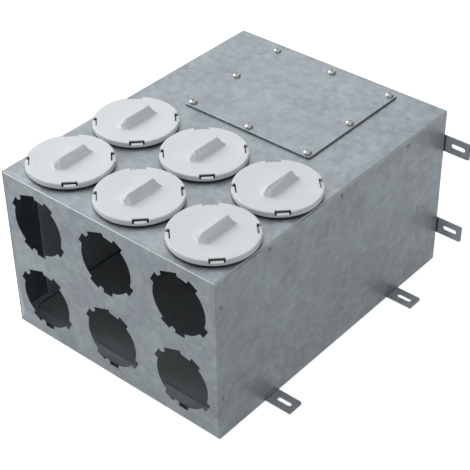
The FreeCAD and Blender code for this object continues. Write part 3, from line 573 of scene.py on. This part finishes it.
@dataclass
class SheetShell:
    """The folded sheets of the box, its spigot and the plate that closes its access opening."""

    panels: tuple[str, ...] = ("front_panel", "top_panel", "side_wrap", "main_spigot")
    # The base's paler zinc is painted light from the ports
    paler_base_for_port_light: GalvanisedSteel = GalvanisedSteel("galvanised_base", "#d0d6da", "#b6bdc1", roughness=0.66)
    straps: tuple[str, ...] = tuple(
        f"{face}_strap_{end}_{side}"
        for face, ends in (("base", ("front", "rear")), ("rear", ("low", "high")))
        for end in ends for side in ("left", "right"))

    def build(self, dresser: Dresser) -> None:
        """Dress the sheets, the plate and the straps.

        Args:
            dresser: makes the finished pieces.
        """
        for name in self.panels:
            dresser.piece(name, Slot.GALVANISED, None)
        # The base is seen only through the ports: its zinc is drawn paler and rougher, a painted light for
        # what falls in through the ports
        base = dresser.piece("base_panel", Slot.GALVANISED, None)
        base.data.materials[0] = self.paler_base_for_port_light.build()
        dresser.piece("access_plate", Slot.PLATE, PUNCHED_EDGE)
        for name in self.straps:
            dresser.piece(name, Slot.STRAP, PUNCHED_EDGE)


@dataclass
class BlankingCaps:
    """The six moulded bayonet caps and their seal rings."""

    rows: tuple[str, ...] = ("front", "rear")
    columns: tuple[str, ...] = ("left", "middle", "right")

    def build(self, dresser: Dresser) -> None:
        """Dress every cap and seal.

        Args:
            dresser: makes the finished pieces.
        """
        for row in self.rows:
            for column in self.columns:
                dresser.piece(f"cap_{row}_{column}", Slot.CAP, MOULDED_EDGE)
                dresser.piece(f"seal_{row}_{column}", Slot.RUBBER, SOFT_EDGE)


@dataclass
class SoftPieces:
    """The plate's gasket and the lining."""

    linings: tuple[str, ...] = ("left_lining", "right_lining", "base_lining", "rear_lining")

    def build(self, dresser: Dresser) -> None:
        """Dress the soft pieces.

        Args:
            dresser: makes the finished pieces.
        """
        dresser.piece("access_gasket", Slot.GASKET, None)
        for name in self.linings:
            dresser.piece(name, Slot.LINING, SOFT_EDGE)


class Facing(Enum):
    """Which way a row of fasteners faces, as the turn of an upright one about X, Y and Z."""

    UP = (0.0, 0.0, 0.0)
    LEFT = (0.0, -math.pi / 2, 0.0)
    RIGHT = (0.0, math.pi / 2, 0.0)
    REAR = (-math.pi / 2, 0.0, 0.0)


class FastenerTree:
    """A Geometry Nodes tree that makes one fastener, head up and seat at zero, and sets it at every point."""

    def __init__(self, name: str, sizes: dict[str, float]) -> None:
        """Start the tree and its named inputs.

        Args:
            name: the tree's name.
            sizes: each named size with its usual value, in metres.
        """
        self.tree = bpy.data.node_groups.new(name, "GeometryNodeTree")
        face = self.tree.interface
        face.new_socket("Places", in_out="INPUT", socket_type="NodeSocketGeometry")
        for label, value in sizes.items():
            face.new_socket(label, in_out="INPUT", socket_type="NodeSocketFloat").default_value = value
        face.new_socket("Facing", in_out="INPUT", socket_type="NodeSocketVector")
        face.new_socket("Spin Seed", in_out="INPUT", socket_type="NodeSocketInt").default_value = 7
        face.new_socket("Finish", in_out="INPUT", socket_type="NodeSocketMaterial")
        face.new_socket("Fasteners", in_out="OUTPUT", socket_type="NodeSocketGeometry")
        self.given = add_node(self.tree, "NodeGroupInput").outputs

    def math(self, operation: str, first: Any, second: Any) -> bpy.types.NodeSocket:
        """Work out one number from two.

        Args:
            operation: the sum to do.
            first: a number or an output.
            second: a number or an output.

        Returns:
            The result's output.
        """
        return add_node(self.tree, "ShaderNodeMath", {"operation": operation},
                        {0: first, 1: second}).outputs[0]

    def triple(self, across: Any, along: Any, upward: Any) -> bpy.types.NodeSocket:
        """Join three numbers into a vector.

        Args:
            across: its X.
            along: its Y.
            upward: its Z.

        Returns:
            The vector's output.
        """
        return add_node(self.tree, "ShaderNodeCombineXYZ", inputs={0: across, 1: along, 2: upward}).outputs[0]

    def moved(self, shape: bpy.types.NodeSocket, shift: Any = (0, 0, 0), scale: Any = (1, 1, 1),
              turn: Any = (0, 0, 0)) -> bpy.types.NodeSocket:
        """Move, scale and turn a shape.

        Args:
            shape: the shape's output.
            shift: how far it moves.
            scale: how much it grows.
            turn: how it turns.

        Returns:
            The moved shape's output.
        """
        return add_node(self.tree, "GeometryNodeTransform",
                        inputs={"Geometry": shape, "Translation": shift, "Scale": scale,
                                "Rotation": turn}).outputs[0]

    def post(self, radius: Any, top: Any, bottom: Any) -> bpy.types.NodeSocket:
        """Make an upright round post.

        Args:
            radius: its radius.
            top: its upper level.
            bottom: its lower level.

        Returns:
            The post's output.
        """
        height = self.math("SUBTRACT", top, bottom)
        middle = self.math("MULTIPLY", self.math("ADD", top, bottom), 0.5)
        body = add_node(self.tree, "GeometryNodeMeshCylinder", {"fill_type": "NGON"},
                        {"Vertices": ROUND_SIDES, "Radius": radius, "Depth": height}).outputs["Mesh"]
        return self.moved(body, self.triple(0.0, 0.0, middle))

    def cut(self, body: bpy.types.NodeSocket, tools: list[bpy.types.NodeSocket],
            operation: str = "DIFFERENCE") -> bpy.types.NodeSocket:
        """Cut shapes out of a body, or join them to it.

        Args:
            body: the body's output.
            tools: the outputs of what is cut out or joined.
            operation: DIFFERENCE or UNION.

        Returns:
            The result's output.
        """
        node = add_node(self.tree, "GeometryNodeMeshBoolean", {"operation": operation, "solver": "EXACT"})
        if operation == "DIFFERENCE":
            self.tree.links.new(body, node.inputs["Mesh 1"])
        else:
            tools = [body, *tools]
        for tool in tools:
            self.tree.links.new(tool, node.inputs["Mesh 2"])
        return node.outputs["Mesh"]

    def dome(self, radius: Any, height: Any, foot: Any = 0.0) -> bpy.types.NodeSocket:
        """Make a domed cap that stands on a level.

        Args:
            radius: its radius.
            height: its height.
            foot: the level that it stands on.

        Returns:
            The dome's output.
        """
        ball = add_node(self.tree, "GeometryNodeMeshUVSphere",
                        inputs={"Segments": ROUND_SIDES, "Rings": DOME_RINGS, "Radius": 1.0}).outputs["Mesh"]
        ball = self.moved(ball, scale=self.triple(radius, radius, height))
        wide = self.math("MULTIPLY", radius, 3.0)
        block = add_node(self.tree, "GeometryNodeMeshCube",
                         inputs={"Size": self.triple(wide, wide, wide)}).outputs["Mesh"]
        block = self.moved(block, self.triple(0.0, 0.0, self.math("MULTIPLY", wide, -0.5)))
        return self.moved(self.cut(ball, [block]), self.triple(0.0, 0.0, foot))

    def finish(self, parts: list[bpy.types.NodeSocket]) -> None:
        """Set the fastener at every point, spin each a little, realize the lot and give it its finish.

        Args:
            parts: the outputs of the fastener's parts.
        """
        whole = add_node(self.tree, "GeometryNodeJoinGeometry")
        for part in parts:
            self.tree.links.new(part, whole.inputs[0])
        dots = add_node(self.tree, "GeometryNodeMeshToPoints", inputs={"Mesh": self.given["Places"]})
        upright = add_node(self.tree, "FunctionNodeEulerToRotation", inputs={0: self.given["Facing"]})
        copies = add_node(self.tree, "GeometryNodeInstanceOnPoints",
                          inputs={"Points": dots.outputs[0], "Instance": whole.outputs[0],
                                  "Rotation": upright.outputs[0]})
        chance = add_node(self.tree, "FunctionNodeRandomValue", {"data_type": "FLOAT"},
                          {"Max": 2 * math.pi, "Seed": self.given["Spin Seed"]})
        value = next(socket for socket in chance.outputs if socket.enabled)
        spun = add_node(self.tree, "GeometryNodeRotateInstances",
                        inputs={"Instances": copies.outputs[0], "Rotation": self.triple(0.0, 0.0, value),
                                "Local Space": True})
        real = add_node(self.tree, "GeometryNodeRealizeInstances", inputs={0: spun.outputs[0]})
        coated = add_node(self.tree, "GeometryNodeSetMaterial",
                          inputs={"Geometry": real.outputs[0], "Material": self.given["Finish"]})
        add_node(self.tree, "NodeGroupOutput", inputs={0: coated.outputs[0]})

    def grow(self, name: str, places: list[Vector], values: dict[str, Any]) -> bpy.types.Object:
        """Set the fasteners at their places as one plain mesh.

        Args:
            name: the piece's name.
            places: the seat of each head.
            values: inputs by name.

        Returns:
            The mesh object.
        """
        seats = bpy.data.meshes.new(f"{name}_seats")
        seats.from_pydata([tuple(place) for place in places], [], [])
        host = bpy.data.objects.new(f"{name}_seats", seats)
        bpy.context.scene.collection.objects.link(host)
        modifier = host.modifiers.new("Fasteners", "NODES")
        modifier.node_group = self.tree
        for item in self.tree.interface.items_tree:
            if item.item_type == "SOCKET" and item.in_out == "INPUT" and item.name in values:
                modifier[item.identifier] = values[item.name]
        shape = host.evaluated_get(bpy.context.evaluated_depsgraph_get())
        mesh = bpy.data.meshes.new_from_object(shape)
        mesh.name = name
        host.modifiers.remove(modifier)
        bpy.data.objects.remove(host)
        mesh.shade_smooth()
        mesh.set_sharp_from_angle(angle=HEAD_SHARP_TURN)
        piece = bpy.data.objects.new(name, mesh)
        bpy.context.scene.collection.objects.link(piece)
        return piece


def rivet_tree() -> FastenerTree:
    """Build the tree of a set blind rivet: a domed head with its mandrel's stub, a shank and a bulb.

    Returns:
        The finished tree.
    """
    rivet = FastenerTree("blind_rivet", {"Head Radius": 0.0026, "Head Height": 0.001, "Shank Radius": 0.0016,
                                         "Grip": 0.002, "Bulb Radius": 0.0023, "Bulb Height": 0.0025,
                                         "Mandrel Radius": 0.0008})
    given = rivet.given
    bore_top, bore_floor, stub_top = (
        rivet.math("MULTIPLY", given["Head Height"], share) for share in (2.0, 0.4, 0.75))
    head = rivet.dome(given["Head Radius"], given["Head Height"])
    bore = rivet.post(given["Mandrel Radius"], bore_top, bore_floor)
    stub = rivet.post(rivet.math("MULTIPLY", given["Mandrel Radius"], 0.85), stub_top, 0.0)
    foot = rivet.math("MULTIPLY", given["Grip"], -1.0)
    shank = rivet.post(given["Shank Radius"], 0.0, foot)
    bulb = rivet.dome(given["Bulb Radius"], given["Bulb Height"])
    bulb = rivet.moved(bulb, rivet.triple(0.0, 0.0, foot), turn=(math.pi, 0.0, 0.0))
    rivet.finish([rivet.cut(head, [bore]), stub, shank, bulb])
    return rivet


def screw_tree() -> FastenerTree:
    """Build the tree of a dome-head machine screw with a cross recess.

    Returns:
        The finished tree.
    """
    screw = FastenerTree("dome_head_screw", {"Head Radius": 0.0055, "Head Height": 0.004,
                                             "Shank Radius": 0.0024, "Length": 0.011,
                                             "Recess Length": 0.005, "Recess Width": 0.0011,
                                             "Recess Depth": 0.0016})
    given = screw.given
    skirt = screw.math("MULTIPLY", given["Head Height"], 0.3)
    crown = screw.math("MULTIPLY", given["Head Height"], 0.7)
    head = screw.cut(screw.dome(given["Head Radius"], crown, skirt),
                     [screw.post(given["Head Radius"], skirt, 0.0)], "UNION")
    depth = screw.math("MULTIPLY", given["Recess Depth"], 2.0)
    bars = []
    for size in ((given["Recess Length"], given["Recess Width"]),
                 (given["Recess Width"], given["Recess Length"])):
        bar = add_node(screw.tree, "GeometryNodeMeshCube",
                       inputs={"Size": screw.triple(size[0], size[1], depth)}).outputs["Mesh"]
        bars.append(screw.moved(bar, screw.triple(0.0, 0.0, given["Head Height"])))
    shank = screw.post(given["Shank Radius"], 0.0, screw.math("MULTIPLY", given["Length"], -1.0))
    screw.finish([screw.cut(head, bars), shank])
    return screw


@dataclass(frozen=True)
class FastenerRow:
    """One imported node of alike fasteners, with its head height and grip in millimetres."""

    node_name: str
    facing: Facing
    head_height: float
    grip: float = 2.0


def seats_of(row: FastenerRow) -> list[Vector]:
    """Find where the heads of a packed row of fasteners sit.

    Args:
        row: the row.

    Returns:
        The middle of each head's seat.
    """
    aim = Vector((0, 0, 1))
    aim.rotate(Euler(row.facing.value))
    work = bmesh.new()
    work.from_mesh(frame["nodes"][row.node_name].data)
    bmesh.ops.remove_doubles(work, verts=work.verts, dist=WELD)
    left = set(work.verts)
    seats = []
    while left:
        island = {left.pop()}
        edge = list(island)
        while edge:
            near = {link.other_vert(vert) for vert in edge for link in vert.link_edges} - island
            island |= near
            edge = list(near)
        left -= island
        spots = [vert.co for vert in island]
        middle = (Vector(map(min, *spots)) + Vector(map(max, *spots))) / 2
        top = max(spot.dot(aim) for spot in spots)
        seats.append(middle + aim * (top - row.head_height * MM - middle.dot(aim)))
    work.free()
    # A set of points has no fixed order, and the spin of each head follows its place in the list
    return sorted(seats, key=lambda seat: tuple(round(side / MM) for side in seat))


@dataclass
class Fasteners:
    """Screws, nuts and rivets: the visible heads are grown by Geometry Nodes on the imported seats."""

    screws: FastenerRow = FastenerRow("access_screws", Facing.UP, 4.0)
    rivets: tuple[FastenerRow, ...] = (
        FastenerRow("left_rivets", Facing.LEFT, 1.0), FastenerRow("right_rivets", Facing.RIGHT, 1.0),
        FastenerRow("rear_rivets", Facing.REAR, 1.0), FastenerRow("spigot_rivets", Facing.REAR, 1.0, 1.8))

    def build(self, dresser: Dresser) -> None:
        """Grow the fasteners and dress the nuts.

        Args:
            dresser: makes and dresses the finished pieces.
        """
        self.grow(screw_tree(), self.screws, Slot.FASTENER, dresser, {})
        tree = rivet_tree()
        for row in self.rivets:
            self.grow(tree, row, Slot.RIVET, dresser, {"Grip": row.grip * MM})
        dresser.piece("access_nuts", Slot.FASTENER, None)

    def grow(self, tree: FastenerTree, row: FastenerRow, slot: Slot, dresser: Dresser,
             sizes: dict[str, float]) -> None:
        """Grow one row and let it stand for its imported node.

        Args:
            tree: the fastener's tree.
            row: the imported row.
            slot: the finish.
            dresser: keeps the count and the finishes.
            sizes: sizes that differ from the tree's usual ones.
        """
        values = {"Facing": row.facing.value, "Finish": dresser.finishes.made[slot], **sizes}
        piece = tree.grow(f"{row.node_name}_grown", seats_of(row), values)
        dresser.finishes.dress(piece, slot)
        dresser.take_place(piece, row.node_name)


@dataclass
class PhotoCamera:
    """The camera, fitted to the photograph's view of the box.

    Angles are in degrees, the focal length is in pixels of the photograph, and distances count in box widths.
    """

    azimuth: float = 40.744
    elevation: float = 37.052
    roll: float = 0.809
    width: float = 0.340
    box_middle: tuple[float, float, float] = (0.0, -0.025, 0.1185)
    distance: float = 5.0825
    aside: float = -0.009
    above: float = 0.0711
    focal_pixels: float = 1344.354
    image_pixels: float = 470.0
    sensor: float = 36.0
    clip_end: float = 50.0

    def build(self) -> None:
        """Make the camera."""
        turn, tilt, roll = (math.radians(value) for value in (self.azimuth, self.elevation, self.roll))
        right = Vector((math.cos(turn), math.sin(turn), 0))
        back = Vector((math.sin(turn) * math.cos(tilt), -math.cos(turn) * math.cos(tilt), math.sin(tilt)))
        up = back.cross(right)
        rolled_right = right * math.cos(roll) - up * math.sin(roll)
        rolled_up = right * math.sin(roll) + up * math.cos(roll)
        data = bpy.data.cameras.new("photo_camera")
        data.sensor_width = self.sensor
        data.lens = self.sensor * self.focal_pixels / self.image_pixels
        data.clip_end = self.clip_end
        camera = bpy.data.objects.new("photo_camera", data)
        bpy.context.scene.collection.objects.link(camera)
        offset = rolled_right * -self.aside + rolled_up * -self.above + back * self.distance
        frame_matrix = Matrix((rolled_right, rolled_up, back)).transposed().to_4x4()
        frame_matrix.translation = Vector(self.box_middle) + offset * self.width
        camera.matrix_world = frame_matrix
        bpy.context.scene.camera = camera
        LOG.info("camera lens %.2f mm", data.lens)


@dataclass(frozen=True)
class Softbox:
    """A square soft lamp: where it hangs and its side, in metres, and its power in watts."""

    name: str
    place: tuple[float, float, float]
    side: float
    power: float

    def hang(self, target: Vector) -> None:
        """Hang the lamp so that it faces a point.

        Args:
            target: the point.
        """
        data = bpy.data.lights.new(self.name, "AREA")
        data.size = self.side
        data.energy = self.power
        lamp = bpy.data.objects.new(self.name, data)
        bpy.context.scene.collection.objects.link(lamp)
        lamp.location = self.place
        lamp.rotation_euler = (target - Vector(self.place)).to_track_quat("-Z", "Y").to_euler()


@dataclass
class Studio:
    """White studio: a pale floor, a white surround with a black flag, and soft lamps."""

    floor_size: float = 12.0
    floor_colour: str = "#d0d0d0"
    floor_shown: float = 0.8
    floor_mirrored: float = 0.46
    surround: float = 1.0
    ambient: float = 0.46
    flag: float = 0.6
    flag_towards: tuple[float, float, float] = (0.62, 0.62, 0.48)
    flag_edge: tuple[float, float] = (0.68, 0.9)
    lamp_target: tuple[float, float, float] = (0.0, 0.0, 0.12)
    softboxes: tuple[Softbox, ...] = (
        Softbox("key_softbox", (-2.2, -0.4, 2.0), 2.0, 57.0),
        Softbox("rear_softbox", (-1.5, 1.9, 1.9), 1.8, 5.0),
        Softbox("edge_softbox", (-1.6, -1.8, 1.8), 0.8, 1.5))

    def build(self) -> None:
        """Make the floor, the world and the lamps."""
        self.make_floor()
        self.make_world()
        for softbox in self.softboxes:
            softbox.hang(Vector(self.lamp_target))
        bpy.context.scene.view_settings.view_transform = "Standard"

    def strength_by_ray(self, tree: bpy.types.NodeTree, lighting: float, mirrored: float,
                        shown: float) -> bpy.types.NodeSocket:
        """Give the background one strength as light, one in metal and glass, and one where it is seen.

        Args:
            tree: the tree that asks.
            lighting: the strength for rays that light the object.
            mirrored: the strength for glossy and transmission rays.
            shown: the strength for camera rays.

        Returns:
            The strength's output.
        """
        path = add_node(tree, "ShaderNodeLightPath")
        mirror = add_node(tree, "ShaderNodeMath", {"operation": "MAXIMUM"},
                          {0: path.outputs["Is Glossy Ray"], 1: path.outputs["Is Transmission Ray"]})
        strength = add_node(tree, "ShaderNodeMath", {"operation": "MULTIPLY_ADD"},
                            {0: mirror.outputs[0], 1: mirrored - lighting, 2: lighting})
        strength = add_node(tree, "ShaderNodeMath", {"operation": "MULTIPLY_ADD"},
                            {0: path.outputs["Is Camera Ray"], 1: shown - lighting, 2: strength.outputs[0]})
        return strength.outputs[0]

    def make_floor(self) -> None:
        """Lay the floor: it is lifted to white where it is seen, and keeps the object's shadow."""
        half = self.floor_size / 2
        mesh = bpy.data.meshes.new("floor")
        mesh.from_pydata([(-half, -half, 0), (half, -half, 0), (half, half, 0), (-half, half, 0)], [],
                         [(0, 1, 2, 3)])
        floor = bpy.data.objects.new("floor", mesh)
        bpy.context.scene.collection.objects.link(floor)
        material = bpy.data.materials.new("white_floor")
        material.use_nodes = True
        tree = material.node_tree
        tree.nodes.clear()
        matt = add_node(tree, "ShaderNodeBsdfDiffuse", inputs={"Color": linear(self.floor_colour)})
        lift = self.strength_by_ray(tree, 0.0, self.floor_mirrored, self.floor_shown)
        glow = add_node(tree, "ShaderNodeEmission", inputs={"Strength": lift})
        both = add_node(tree, "ShaderNodeAddShader", inputs={0: matt.outputs[0], 1: glow.outputs[0]})
        add_node(tree, "ShaderNodeOutputMaterial", inputs={"Surface": both.outputs[0]})
        mesh.materials.append(material)

    def make_world(self) -> None:
        """Surround the object with white that lights it less than it shows."""
        world = bpy.data.worlds.new("studio")
        bpy.context.scene.world = world
        world.use_nodes = True
        tree = world.node_tree
        tree.nodes.clear()
        strength = self.strength_by_ray(tree, self.ambient, self.surround, self.surround)
        strength = self.flag_off(tree, strength)
        back = add_node(tree, "ShaderNodeBackground", inputs={"Color": (1, 1, 1, 1), "Strength": strength})
        add_node(tree, "ShaderNodeOutputWorld", inputs={"Surface": back.outputs[0]})

    def flag_off(self, tree: bpy.types.NodeTree, strength: bpy.types.NodeSocket) -> bpy.types.NodeSocket:
        """Hang a black flag behind the right side: the fold over that side mirrors it as a thin dark line.

        Args:
            tree: the world's tree.
            strength: the surround's strength.

        Returns:
            The strength with the flag in it, for mirrored rays only.
        """
        towards = add_node(tree, "ShaderNodeTexCoord").outputs["Generated"]
        near = add_node(tree, "ShaderNodeVectorMath", {"operation": "DOT_PRODUCT"},
                        {0: towards, 1: self.flag_towards})
        shade = stretch(tree, near.outputs["Value"], self.flag_edge, (0.0, self.flag))
        mirrored = add_node(tree, "ShaderNodeLightPath").outputs["Is Glossy Ray"]
        shade = add_node(tree, "ShaderNodeMath", {"operation": "MULTIPLY"}, {0: shade, 1: mirrored})
        keep = add_node(tree, "ShaderNodeMath", {"operation": "SUBTRACT"}, {0: 1.0, 1: shade.outputs[0]})
        kept = add_node(tree, "ShaderNodeMath", {"operation": "MULTIPLY"}, {0: strength, 1: keep.outputs[0]})
        return kept.outputs[0]


def main() -> None:
    """Build the scene in order."""
    logging.basicConfig(level=logging.INFO, format="%(name)s: %(message)s")
    PhotoCamera().build()
    Studio().build()
    finishes = Finishes()
    finishes.build()
    dresser = Dresser(finishes)
    SheetShell().build(dresser)
    BlankingCaps().build(dresser)
    SoftPieces().build(dresser)
    Fasteners().build(dresser)
    LOG.info("%d pieces stand for their solids", dresser.count)


if __name__ == "__main__":
    main()
